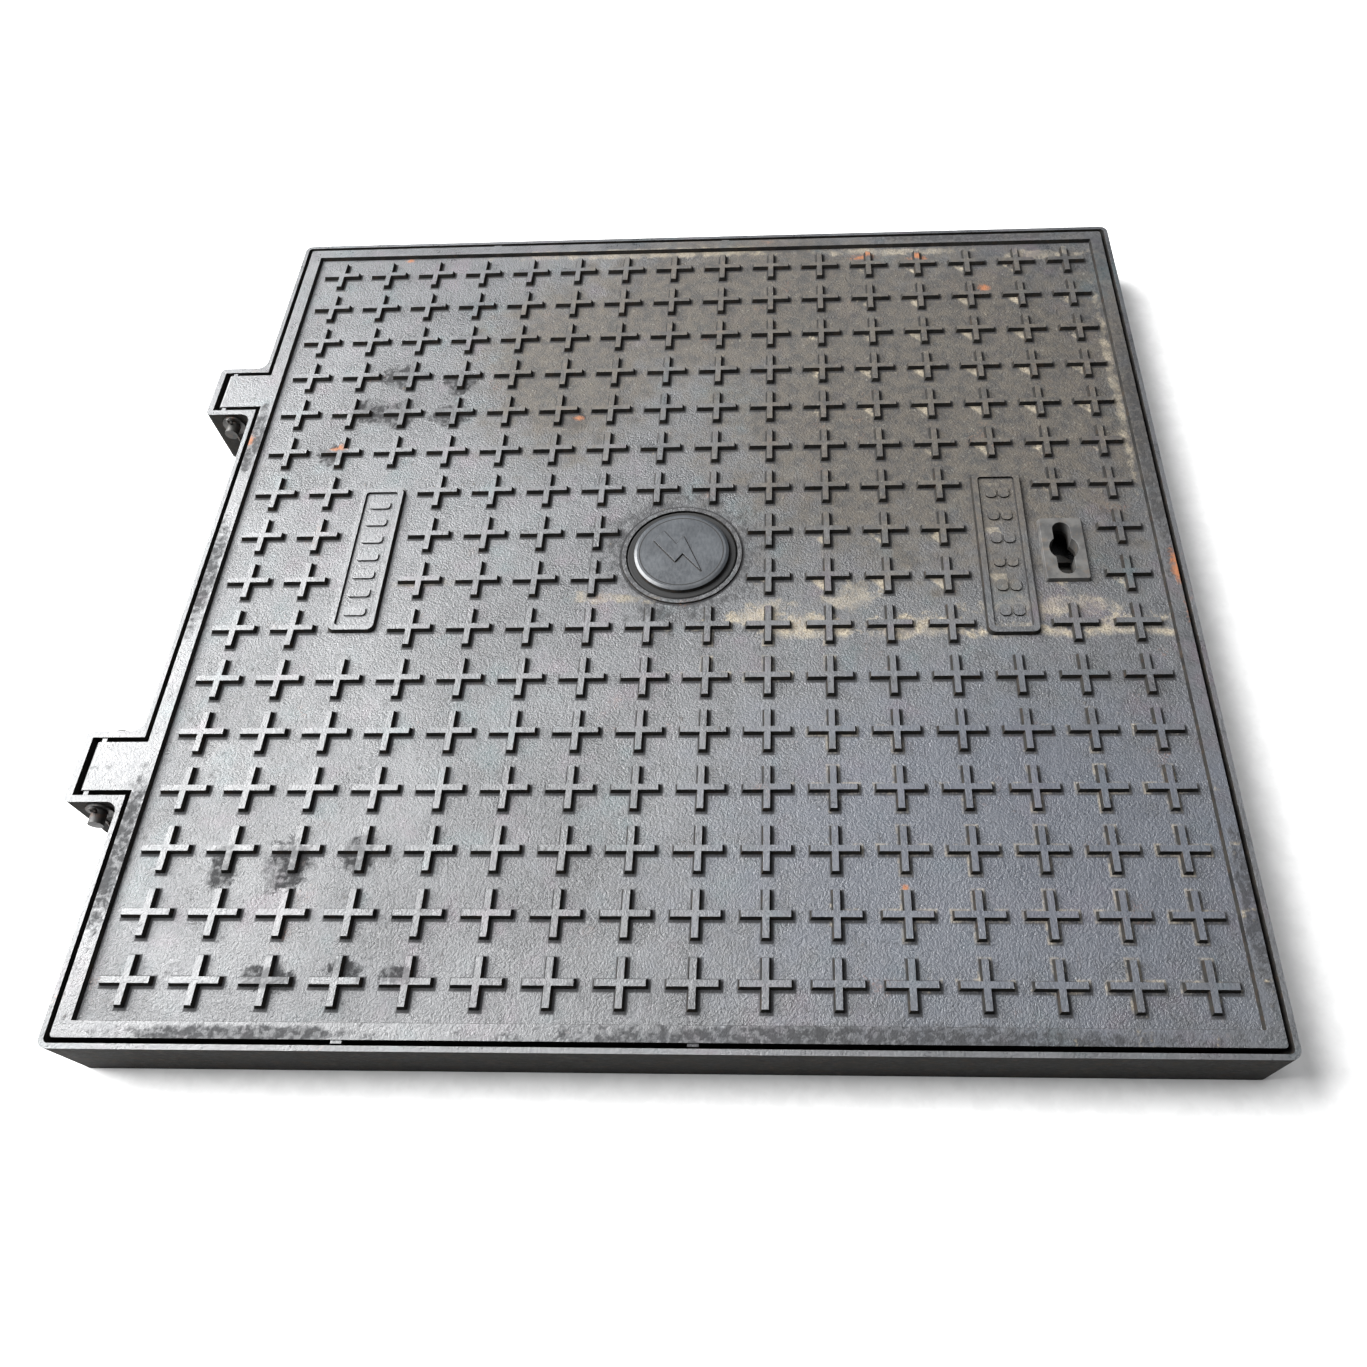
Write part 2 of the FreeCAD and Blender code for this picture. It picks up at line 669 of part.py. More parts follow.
# ---------------------------------------------------------------- lock
def make_lock_cup():
    outer_size = [size + 2 * cup_wall for size in cup_inner_size]
    cup = rounded_block(lock_x, lock_y, outer_size[0], outer_size[1], cup_corner_radius,
                        cup_bottom, panel_bottom)
    flange = rounded_block(lock_x, lock_y, cup_flange_size[0], cup_flange_size[1], cup_corner_radius,
                           panel_bottom - cup_flange_thickness, panel_bottom)
    inside = rounded_block(lock_x, lock_y, cup_inner_size[0], cup_inner_size[1], cup_corner_radius - cup_wall,
                           cup_floor_top, panel_bottom + overrun)
    holes = [upright_cylinder(lock_x + dx, lock_y + dy, cup_screw_radius + thread_gap,
                              cup_bottom - overrun, panel_bottom + overrun)
             for dx, dy in corners_of(cup_screw_spacing)]
    bore = upright_cylinder(lock_x, lock_y, spindle_radius + pin_running_clearance,
                            cup_bottom - overrun, panel_bottom + overrun)
    return cup.fuse(flange).cut([inside, bore] + holes)


def make_lock_cup_screws():
    under_head = panel_bottom - cup_flange_thickness
    return [bolt(lock_x + dx, lock_y + dy, cup_screw_radius, panel_bottom + cup_screw_grip, under_head,
                 *cup_screw_head, upward=True)
            for dx, dy in corners_of(cup_screw_spacing)]


def square_shank(size, z0, z1):
    half = size / 2
    return block(lock_x - half, lock_x + half, lock_y - half, lock_y + half, z0, z1)


def make_lock_spindle():
    head_bottom = cup_floor_top + seat_clearance
    head_top = head_bottom + spindle_head_height
    head = upright_cylinder(lock_x, lock_y, spindle_head_radius, head_bottom, head_top)
    slot = block(lock_x - spindle_head_radius - overrun, lock_x + spindle_head_radius + overrun,
                 lock_y - key_slot_width / 2, lock_y + key_slot_width / 2,
                 head_top - key_slot_depth, head_top + overrun)
    journal = upright_cylinder(lock_x, lock_y, spindle_radius, lock_spring_top, head_bottom + overrun)
    shank = square_shank(spindle_square, cam_bottom, lock_spring_top + overrun)
    thread = upright_cylinder(lock_x, lock_y, spindle_square / 2,
                              nut_bottom - overrun, cam_bottom + overrun)
    return head.cut(slot).fuse([journal, shank, thread])


def make_lock_washer():
    top = cup_bottom - seat_clearance
    ring = upright_cylinder(lock_x, lock_y, 2 * spindle_radius, lock_spring_top, top)
    return ring.cut(upright_cylinder(lock_x, lock_y, spindle_radius + thread_gap,
                                     lock_spring_top - overrun, top + overrun))


def make_lock_spring():
    """Conical disc spring that keeps the cam from turning by itself."""
    inner, outer = spindle_radius + thread_gap, 2 * spindle_radius - lock_spring_land
    leaf = lock_spring_height / 2
    profile = [(inner, cam_top), (inner + lock_spring_land, cam_top), (outer, lock_spring_top - leaf),
               (outer, lock_spring_top), (outer - lock_spring_land, lock_spring_top),
               (inner, cam_top + leaf)]
    return turned(profile).translated(vector(lock_x, lock_y, 0))


def make_lock_cam():
    """The cam lies along +Y when unlocked and points to +X, under the keeper, when locked."""
    hub = upright_cylinder(lock_x, lock_y, cam_hub_radius, cam_bottom, cam_top)
    half = cam_width / 2
    arm = block(lock_x - half, lock_x + half, lock_y, lock_y + cam_reach - half, cam_bottom, cam_top)
    tip = upright_cylinder(lock_x, lock_y + cam_reach - half, half, cam_bottom, cam_top)
    return hub.fuse([arm, tip]).cut(square_shank(spindle_square + square_clearance,
                                                 cam_bottom - overrun, cam_top + overrun))


def make_lock_nut():
    nut = hexagon(lock_x, lock_y, lock_nut_width, nut_bottom, cam_bottom)
    return nut.cut(upright_cylinder(lock_x, lock_y, spindle_square / 2,
                                    nut_bottom - overrun, cam_bottom + overrun))


# ---------------------------------------------------------------- keeper
def keeper_foot_x():
    return clear_opening / 2 + keeper_foot_width / 2


def make_keeper():
    web_x = lock_x + cam_reach + keeper_web_clearance
    bar_bottom = cam_top + keeper_play
    bar_top = bar_bottom + keeper_bar_thickness
    half = keeper_width / 2
    foot_half = keeper_foot_length / 2
    centre = keeper_foot_x()
    foot_top = flange_thickness + keeper_foot_thickness
    foot = block(min(centre - keeper_foot_width / 2, web_x),
                 max(centre + keeper_foot_width / 2, web_x + keeper_web_thickness),
                 -foot_half, foot_half, flange_thickness, foot_top)
    web = block(web_x, web_x + keeper_web_thickness, -half, half, flange_thickness, bar_top)
    bar = block(lock_x + cam_reach - keeper_overlap, web_x + keeper_web_thickness, -half, half,
                bar_bottom, bar_top)
    holes = [upright_cylinder(centre, side * keeper_bolt_spacing / 2, keeper_bolt_radius + thread_gap,
                              flange_thickness - overrun, foot_top + overrun) for side in (-1, 1)]
    return foot.fuse([web, bar]).cut(holes)


def make_keeper_bolts():
    under_head = flange_thickness + keeper_foot_thickness
    return [bolt(keeper_foot_x(), side * keeper_bolt_spacing / 2, keeper_bolt_radius, keeper_bolt_tip,
                 under_head, *keeper_bolt_head)
            for side in (-1, 1)]


# ---------------------------------------------------------------- export
def write(name, shapes):
    """One STEP file per node; identical fasteners are separate solids in one file."""
    shape = shapes[0] if len(shapes) == 1 else Part.makeCompound(shapes)
    state = "valid" if shape.isValid() else "BAD"
    print(name, len(shape.Solids), "solid(s)", round(shape.Volume), "mm3", state)
    shape.exportStep(os.path.join("parts", name + ".step"))


def main():
    os.makedirs("parts", exist_ok=True)
    write("frame", [make_frame()])
    write("seat_gasket", [make_seat_gasket()])
    for name, y in zip(("front", "rear"), hinge_ys):
        write("hinge_pin_" + name, [make_hinge_pin(y)])
        write("hinge_washer_" + name, [make_hinge_washer(y)])
        write("split_pin_" + name, [make_split_pin(y)])
    write("cover", [make_cover()])
    write("service_badge", [make_badge()])
    write("badge_seal", [make_badge_seal()])
    write("badge_clamp_bar", [make_badge_clamp_bar()])
    write("badge_washer", [make_badge_washer()])
    write("badge_nut", [make_badge_nut()])
    write("keyhole_plate", [make_keyhole_plate()])
    write("keyhole_clamp_plate", [make_keyhole_clamp_plate()])
    write("keyhole_screws", make_keyhole_screws())
    write("lock_cup", [make_lock_cup()])
    write("lock_cup_screws", make_lock_cup_screws())
    write("lock_spindle", [make_lock_spindle()])
    write("lock_washer", [make_lock_washer()])
    write("lock_spring", [make_lock_spring()])
    write("lock_cam", [make_lock_cam()])
    write("lock_nut", [make_lock_nut()])
    write("lock_keeper", [make_keeper()])
    write("keeper_bolts", make_keeper_bolts())


main()
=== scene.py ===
import json
import math
import bpy
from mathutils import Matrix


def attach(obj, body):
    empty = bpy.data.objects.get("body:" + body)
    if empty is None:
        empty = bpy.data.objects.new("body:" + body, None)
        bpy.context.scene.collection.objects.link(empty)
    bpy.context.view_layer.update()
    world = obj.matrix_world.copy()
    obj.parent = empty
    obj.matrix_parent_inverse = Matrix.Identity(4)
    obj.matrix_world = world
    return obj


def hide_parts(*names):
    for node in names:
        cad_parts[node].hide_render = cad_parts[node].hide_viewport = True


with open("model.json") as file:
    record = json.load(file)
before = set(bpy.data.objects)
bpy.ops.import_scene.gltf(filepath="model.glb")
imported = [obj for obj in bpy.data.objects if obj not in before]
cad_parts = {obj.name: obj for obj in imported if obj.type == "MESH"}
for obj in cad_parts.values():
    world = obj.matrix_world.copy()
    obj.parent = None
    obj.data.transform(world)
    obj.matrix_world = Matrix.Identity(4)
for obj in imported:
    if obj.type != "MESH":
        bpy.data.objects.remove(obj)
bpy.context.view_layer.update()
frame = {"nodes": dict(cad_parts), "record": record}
nodes = frame["nodes"]
print("stage: frame loaded,", len(nodes), "nodes")


class Shader:  # one material being wired up: every call adds nodes and hands back their output
    def __init__(self, name):
        self.material = bpy.data.materials.new(name)
        self.material.use_nodes = True
        self.tree = self.material.node_tree
        self.tree.nodes.clear()
        self.output = self.tree.nodes.new("ShaderNodeOutputMaterial")
        self.surface = self.tree.nodes.new("ShaderNodeBsdfPrincipled")
        self.tree.links.new(self.surface.outputs[0], self.output.inputs[0])
        self.place = self.tree.nodes.new("ShaderNodeTexCoord").outputs["Object"]

    def feed(self, socket, value):
        if isinstance(value, bpy.types.NodeSocket):
            self.tree.links.new(value, socket)
        elif isinstance(value, tuple) and len(value) == 3 and socket.type == "RGBA":
            socket.default_value = (*value, 1.0)
        else:
            socket.default_value = value

    def math(self, operation, first, second=0.0, third=None, clamp=False):
        node = self.tree.nodes.new("ShaderNodeMath")
        node.operation = operation
        node.use_clamp = clamp
        self.feed(node.inputs[0], first)
        self.feed(node.inputs[1], second)
        if third is not None:
            self.feed(node.inputs[2], third)
        return node.outputs[0]

    def times(self, first, second):
        return self.math("MULTIPLY", first, second)

    def plus(self, first, second):
        return self.math("ADD", first, second)

    def minus(self, first, second):
        return self.math("SUBTRACT", first, second)

    def most(self, first, second):
        return self.math("MAXIMUM", first, second)

    def least(self, first, second):
        return self.math("MINIMUM", first, second)

    def size(self, number):
        return self.math("ABSOLUTE", number)

    def noise(self, scale, detail=4.0, roughness=0.55, stretch=(1, 1, 1), offset=(0, 0, 0), warp=0.0):
        node = self.tree.nodes.new("ShaderNodeTexNoise")
        node.inputs["Scale"].default_value = scale
        node.inputs["Detail"].default_value = detail
        node.inputs["Roughness"].default_value = roughness
        node.inputs["Distortion"].default_value = warp
        self.feed(node.inputs["Vector"], self.moved(offset, (0, 0, 0), stretch))
        return node.outputs[0]

    def moved(self, offset, turn, stretch, kind="POINT"):
        if offset == (0, 0, 0) and turn == (0, 0, 0) and stretch == (1, 1, 1) and kind == "POINT":
            return self.place
        node = self.tree.nodes.new("ShaderNodeMapping")
        node.vector_type = kind
        node.inputs["Location"].default_value = offset
        node.inputs["Rotation"].default_value = turn
        node.inputs["Scale"].default_value = stretch
        self.feed(node.inputs["Vector"], self.place)
        return node.outputs[0]

    def between(self, value, low, high, toLow=0.0, toHigh=1.0):
        node = self.tree.nodes.new("ShaderNodeMapRange")
        node.interpolation_type = "SMOOTHSTEP"
        for place, number in zip((1, 2, 3, 4), (low, high, toLow, toHigh)):
            node.inputs[place].default_value = number
        self.feed(node.inputs[0], value)
        return node.outputs[0]

    def spot(self, x, y, halfX, halfY, turn=0.0):
        # a soft oval on the plan, 1 in its middle and 0 at its edge
        node = self.tree.nodes.new("ShaderNodeTexGradient")
        node.gradient_type = "SPHERICAL"
        self.feed(node.inputs["Vector"], self.moved((x / 1000, y / 1000, 0), (0, 0, math.radians(turn)),
                                                    (halfX / 1000, halfY / 1000, 1000), "TEXTURE"))
        return node.outputs["Fac"]

    def spots(self, ovals):
        found = None
        for oval in ovals:
            mask = self.spot(*oval)
            found = mask if found is None else self.most(found, mask)
        return found

    def blend(self, amount, first, second):
        node = self.tree.nodes.new("ShaderNodeMix")
        self.feed(node.inputs[0], amount)
        self.feed(node.inputs[2], first)
        self.feed(node.inputs[3], second)
        return node.outputs[0]

    def mix(self, amount, first, second):
        node = self.tree.nodes.new("ShaderNodeMix")
        node.data_type = "RGBA"
        self.feed(node.inputs[0], amount)
        self.feed(node.inputs[6], first)
        self.feed(node.inputs[7], second)
        return node.outputs[2]

    def axis(self, which):
        node = self.tree.nodes.new("ShaderNodeSeparateXYZ")
        self.feed(node.inputs[0], self.place)
        return node.outputs[which]

    def upward(self):
        # how far each face looks up, which softenedCopy stores on the mesh
        node = self.tree.nodes.new("ShaderNodeAttribute")
        node.attribute_name = "upward"
        return node.outputs["Fac"]

    def boxGap(self, x, y, halfX, halfY):
        # how far a point is outside a rectangle on the plan, or inside it where below 0
        sides = []
        for which, middle, half in ((0, x, halfX), (1, y, halfY)):
            away = self.size(self.minus(self.axis(which), middle / 1000))
            sides.append(self.minus(away, half / 1000))
        return self.most(sides[0], sides[1])

    def vector(self, operation, first, second):
        node = self.tree.nodes.new("ShaderNodeVectorMath")
        node.operation = operation
        self.feed(node.inputs[0], first)
        self.feed(node.inputs["Scale" if operation == "SCALE" else 1], second)
        return node.outputs["Value" if operation in ("DOT_PRODUCT", "DISTANCE") else "Vector"]

    def flat(self):
        return self.moved((0, 0, 0), (0, 0, 0), (1, 1, 0))

    def outlineGap(self, corners):
        # how far a point is from a closed outline on the plan
        plan = self.flat()
        nearest = None
        for start, end in zip(corners, corners[1:] + corners[:1]):
            side = (end[0] - start[0], end[1] - start[1], 0.0)
            fromStart = self.vector("SUBTRACT", plan, (*start, 0.0))
            along = self.vector("DOT_PRODUCT", fromStart, side)
            share = self.math("DIVIDE", along, side[0] ** 2 + side[1] ** 2, clamp=True)
            away = self.vector("DISTANCE", fromStart, self.vector("SCALE", side, share))
            nearest = away if nearest is None else self.least(nearest, away)
        return nearest

    def ringLine(self, radius, halfWidth):
        # a thin circle round the middle of the plan
        away = self.minus(self.vector("DISTANCE", self.flat(), (0.0, 0.0, 0.0)), radius / 1000)
        return self.between(self.size(away), halfWidth / 2000, halfWidth / 1000, 1.0, 0.0)

    def bump(self, height, depth, strength=1.0, under=None):
        node = self.tree.nodes.new("ShaderNodeBump")
        node.inputs["Strength"].default_value = strength
        node.inputs["Distance"].default_value = depth
        self.feed(node.inputs["Height"], height)
        if under is not None:
            self.feed(node.inputs["Normal"], under)
        return node.outputs[0]

    def finish(self, colour, roughness, normal, metallic=0.0, specular=0.5):
        self.feed(self.surface.inputs["Base Color"], colour)
        self.feed(self.surface.inputs["Roughness"], roughness)
        self.surface.inputs["Metallic"].default_value = metallic
        self.surface.inputs["Specular IOR Level"].default_value = specular
        self.feed(self.surface.inputs["Normal"], normal)
        return self.material


# cast iron, for the cover, the frame and the lock's cup
castIron = {
    "dark": (0.022, 0.023, 0.025),
    "light": (0.062, 0.064, 0.068),
    "teal": (0.040, 0.062, 0.066),
    "plum": (0.070, 0.052, 0.064),
    "blue": (0.042, 0.049, 0.066),
    "brown": (0.050, 0.040, 0.027),
    "darkMud": (0.012, 0.010, 0.008),
    "fleck": (0.17, 0.16, 0.13),
    "sand": (0.30, 0.26, 0.19),
    "dampSand": (0.115, 0.095, 0.068),
    "rust": (0.22, 0.075, 0.022),
    "wornEdgeHighlight": (0.17, 0.17, 0.17),
    # near black, for damp patches and also as painted shade
    "wet": (0.007, 0.007, 0.008),
    "roughness": (0.26, 0.44),
    "specular": 0.62,
    "grain": 0.0015,
    "lumps": 0.0009,
    "pitch": 0.052,
    "crossLength": 0.0394,
    "crossWidth": 0.0074,
    "panelHeight": 0.0560,
    "topHeight": 0.0600,
}

coverStains = {
    "wet": [(-318, 185, 30, 26), (-298, 235, 30, 24), (-292, 181, 27, 26), (-238, 180, 28, 24),
            (-236, 222, 24, 24), (-345, 128, 22, 20), (-342, -302, 16, 26), (-291, -300, 26, 30),
            (-236, -290, 20, 20), (-285, -388, 30, 14), (-232, -380, 22, 10), (-188, -384, 26, 10),
            (-110, 168, 14, 16), (-240, 290, 8, 5)],
    "grime": [(-427, -290, 12, 90), (-428, -20, 10, 80), (-427, 150, 10, 60), (-300, -428, 120, 8),
              (150, -429, 330, 14), (428, 120, 12, 240), (300, 429, 160, 10), (428, -330, 10, 90)],
    "badgeHalo": [(0, -2, 96, 96)],
    "badgeRing": (55.2, 1.6),
    "tide": [(110, -82, 70, 26), (205, -84, 70, 24), (300, -90, 70, 18), (385, -84, 60, 24),
             (70, -70, 40, 18)],
    "mud": [(-225, -28, 64, 9), (-60, -47, 80, 10, -4), (80, -58, 40, 14), (150, -50, 46, 30),
            (320, -60, 120, 20)],
    "wedges": [(280, 250, 200, 230), (230, -20, 240, 80), (430, 60, 60, 200)],
    "outlines": [(340, -300, 140, 190), (230, -310, 150, 120), (150, -210, 90, 60), (60, -100, 120, 60)],
    "dustTop": [(-60, 416, 250, 9), (200, 412, 130, 9), (370, 402, 70, 12), (413, 210, 7, 210)],
    "brownArea": [(240, 200, 360, 350), (60, 330, 330, 170), (-120, 250, 140, 200)],
    "blueArea": [(260, -290, 340, 230)],
    "rust": [(176, 404, 22, 9), (236, 399, 18, 8), (301, 350, 12, 10), (432, -22, 10, 36),
             (436, -70, 9, 30), (-320, 416, 10, 6), (-432, 146, 9, 16), (181, -316, 6, 5),
             (-341, 134, 20, 8), (-110, 172, 12, 6)],
    "tideHeight": -0.090,
    "bare": [(0, 0, 52, 52), (-286, 0, 26, 104), (286, 0, 26, 104), (338, 0, 26, 52)],
    "labels": [(-286, 20.0, 81.0), (286, 21.5, 89.0)],
    "labelBorder": 5.0,
}


def crossCell(shader, slide=(0.0, 0.0)):
    # where a point lies in its cell of the tread's grid: across, up, and how far it is from the cross
    pitch = castIron["pitch"]
    halfLength = castIron["crossLength"] / 2
    halfWidth = castIron["crossWidth"] / 2
    inCell = []
    for which in (0, 1):
        shifted = shader.plus(shader.axis(which), pitch * 20 - slide[which])
        inCell.append(shader.minus(shader.math("MODULO", shifted, pitch), pitch / 2))
    along = [shader.size(place) for place in inCell]
    arms = []
    for near, far in ((0, 1), (1, 0)):
        arms.append(shader.most(shader.minus(along[near], halfLength),
                                shader.minus(along[far], halfWidth)))
    gap = shader.least(arms[0], arms[1])
    for cells in coverStains["bare"]:
        gap = shader.plus(gap, shader.times(shader.math("LESS_THAN", shader.boxGap(*cells), 0.0), pitch))
    return inCell[0], inCell[1], gap


def castIronMaterial(name, stained, rustiness):
    shader = Shader(name)
    broad = shader.noise(7.0, 5.0, 0.6, warp=0.6)
    blotch = shader.noise(38.0, 6.0, 0.62, offset=(3, 1, 0))
    hue = shader.noise(26.0, 3.0, 0.5, offset=(6, 2, 5))
    mottle = shader.noise(85.0, 5.0, 0.65, offset=(1, 8, 3))
    fine = shader.noise(560.0, 3.0, 0.62)
    sandGrain = shader.noise(1300.0, 2.0, 0.5)
    height = shader.axis(2)

    tone = shader.between(shader.plus(shader.times(broad, 0.5), shader.times(blotch, 0.5)), 0.36, 0.64)
    colour = shader.mix(tone, castIron["dark"], castIron["light"])
    colour = shader.mix(shader.between(hue, 0.55, 0.75, 0.0, 0.6), colour, castIron["teal"])
    colour = shader.mix(shader.between(hue, 0.45, 0.25, 0.0, 0.6), colour, castIron["plum"])
    speckle = shader.between(fine, 0.40, 0.64)
    colour = shader.mix(shader.times(speckle, 0.6), colour, castIron["light"])
    rough = shader.between(shader.plus(shader.times(blotch, 0.5), shader.times(fine, 0.5)),
                           0.35, 0.65, *castIron["roughness"])

    panel = castIron["panelHeight"]
    top = castIron["topHeight"]
    low = shader.between(height, panel + 0.0006, top - 0.0006, 1.0, 0.0)
    upness = shader.upward()
    # painted shade: the upright sides of the relief and the walls below the panel are darkened
    onSide = shader.times(shader.between(upness, 0.35, 0.55, 1.0, 0.0),
                          shader.between(height, panel - 0.0001, panel))
    # painted highlight on the top edges of the relief, partly standing for edge wear
    onEdge = shader.times(shader.between(height, top - 0.0012, top - 0.0006),
                          shader.times(shader.between(upness, 0.45, 0.60),
                                       shader.between(upness, 0.90, 0.98, 1.0, 0.0)))
    below = shader.between(height, panel - 0.0080, panel - 0.0020, 1.0, 0.0)
    paintedShade = shader.most(onSide, shader.times(below, 0.9))
    wet = 0.0
    if stained:
        across, up, gap = crossCell(shader)
        halo = shader.times(shader.between(gap, 0.0060, 0.0120, 1.0, 0.0), low)
        edge = shader.times(shader.minus(blotch, 0.5), 1.1)
        ragged = shader.plus(shader.times(shader.minus(mottle, 0.5), 1.3),
                             shader.times(shader.minus(shader.noise(260.0, 3.0, 0.6), 0.5), 0.7))

        def patch(ovals, start, full, uneven=edge):
            return shader.between(shader.plus(shader.spots(ovals), uneven), start, full)

        colour = shader.mix(shader.times(patch(coverStains["blueArea"], 0.05, 0.7), 0.6),
                            colour, castIron["blue"])
        aboveTide = shader.between(shader.plus(shader.axis(1), shader.times(edge, 0.02)),
                                   coverStains["tideHeight"] - 0.004, coverStains["tideHeight"] + 0.004)
        brown = shader.times(patch(coverStains["brownArea"], 0.10, 0.60), aboveTide)
        brownTone = shader.mix(shader.between(shader.plus(shader.times(mottle, 0.6), shader.times(fine, 0.4)),
                                              0.38, 0.62),
                               castIron["darkMud"], castIron["brown"])
        flecks = shader.between(shader.noise(330.0, 3.0, 0.65, offset=(7, 7, 1)), 0.60, 0.70)
        brownTone = shader.mix(shader.times(flecks, 0.45), brownTone, castIron["fleck"])
        colour = shader.mix(shader.times(brown, 0.85), colour, brownTone)
        rough = shader.blend(shader.times(brown, 0.8), rough, 0.80)

        # damp round some crosses, grime on the border band and dirt round the badge
        lumpy = shader.between(shader.noise(210.0, 3.0, 0.6, offset=(2, 9, 6)), 0.36, 0.56, 0.45, 1.0)
        wet = shader.times(patch(coverStains["wet"], 0.20, 0.48, ragged), shader.most(halo, 0.5))
        grime = shader.times(patch(coverStains["grime"], 0.08, 0.55, ragged), 0.85)
        wet = shader.times(wet, lumpy)
        grime = shader.times(grime, lumpy)
        ring = shader.times(patch(coverStains["badgeHalo"], 0.12, 0.50, ragged), shader.times(lumpy, 0.75))
        wet = shader.most(wet, shader.most(grime, ring))
        colour = shader.mix(shader.times(wet, 0.9), colour, castIron["wet"])
        rough = shader.blend(wet, rough, 0.98)

        # sand washed into the near left corner of each cross
        corner = shader.between(shader.plus(across, up), -0.0215, -0.0165)
        corner = shader.times(corner, shader.times(shader.between(across, 0.0, -0.001),
                                                   shader.between(up, 0.0, -0.001)))
        wedge = shader.times(shader.times(patch(coverStains["wedges"], 0.22, 0.50, ragged), corner), low)
        outline = shader.times(patch(coverStains["outlines"], 0.30, 0.60, ragged),
                               shader.between(shader.size(shader.minus(gap, 0.0004)),
                                              0.0004, 0.0022, 1.0, 0.0))
        tide = shader.times(patch(coverStains["tide"], 0.25, 0.55, ragged), low)
        mud = shader.times(patch(coverStains["mud"], 0.35, 0.75, ragged), low)
        rim = patch(coverStains["dustTop"], 0.25, 0.70, ragged)
        broken = shader.between(shader.plus(shader.times(mottle, 0.6), shader.times(fine, 0.4)), 0.40, 0.60)
        loose = shader.most(shader.times(shader.times(outline, broken), 0.75),
                            shader.times(wedge, shader.between(broken, 0.0, 1.0, 0.5, 1.0)))
        washed = shader.times(shader.most(tide, shader.times(mud, 0.6)), aboveTide)
        sandy = shader.most(loose, shader.times(shader.between(broken, 0.0, 1.0, 0.3, 1.0),
                                                shader.most(washed, shader.times(rim, 0.6))))
        sandColour = shader.mix(speckle, castIron["sand"], castIron["dampSand"])
        colour = shader.mix(shader.times(sandy, 0.85), colour, sandColour)
        rough = shader.blend(sandy, rough, 0.85)

        rustEdge = shader.plus(shader.times(ragged, 0.8), shader.times(shader.minus(fine, 0.5), 0.8))
        rusty = shader.between(shader.plus(shader.spots(coverStains["rust"]), rustEdge), 0.30, 0.85)
        colour = shader.mix(shader.times(rusty, 0.85), colour, castIron["rust"])
        rough = shader.blend(rusty, rough, 0.8)

        # painted shadow along the foot of every cross, thicker on its near right side, and along the label
        # borders and round the badge
        shaded = crossCell(shader, (0.0008, -0.0010))[2]
        footShadow = shader.times(shader.between(shaded, 0.0008, 0.0022, 0.95, 0.0), low)
        for x, halfX, halfY in coverStains["labels"]:
            outer = shader.boxGap(x, 0, halfX, halfY)
            inner = shader.times(shader.plus(outer, coverStains["labelBorder"] / 1000), -1.0)
            for reach in (outer, inner):
                line = shader.times(shader.between(reach, 0.0004, 0.0020, 0.9, 0.0),
                                    shader.between(reach, -0.0014, -0.0008))
                belowBorder = shader.between(height, top - 0.0012, top - 0.0008, 1.0, 0.0)
                footShadow = shader.most(footShadow, shader.times(line, belowBorder))
        footShadow = shader.most(footShadow, shader.ringLine(*coverStains["badgeRing"]))
        paintedShade = shader.most(paintedShade, shader.times(footShadow, shader.minus(1.0, sandy)))

    # painted shade, in the near-black wet colour, on the relief's sides, the walls below the panel and the
    # feet of the relief
    colour = shader.mix(shader.times(paintedShade, 0.9), colour, castIron["wet"])
    colour = shader.mix(shader.times(onEdge, 0.6), colour, castIron["wornEdgeHighlight"])
    rough = shader.blend(paintedShade, rough, 0.95)
    rustGrain = shader.times(shader.between(shader.noise(24.0, 6.0, 0.7, offset=(9, 4, 2)), 0.60, 0.74),
                             shader.between(fine, 0.45, 0.65))
    colour = shader.mix(shader.times(rustGrain, rustiness), colour, castIron["rust"])

    smoother = shader.times(shader.between(low, 0.0, 1.0, 0.6, 1.0),
                            shader.between(shader.noise(9.0, 3.0, 0.5, offset=(5, 3, 1)),
                                           0.36, 0.56, 0.80, 1.0))
    heap = shader.plus(shader.noise(95.0, 3.0, 0.6), shader.times(wet, shader.times(mottle, 2.0)))
    lumps = shader.bump(heap, castIron["lumps"], 0.45)
    grain = shader.plus(shader.times(fine, 0.8), shader.times(sandGrain, 0.2))
    normal = shader.bump(shader.times(grain, smoother), castIron["grain"], 1.0, lumps)
    return shader.finish(colour, rough, normal, 0.0, castIron["specular"])


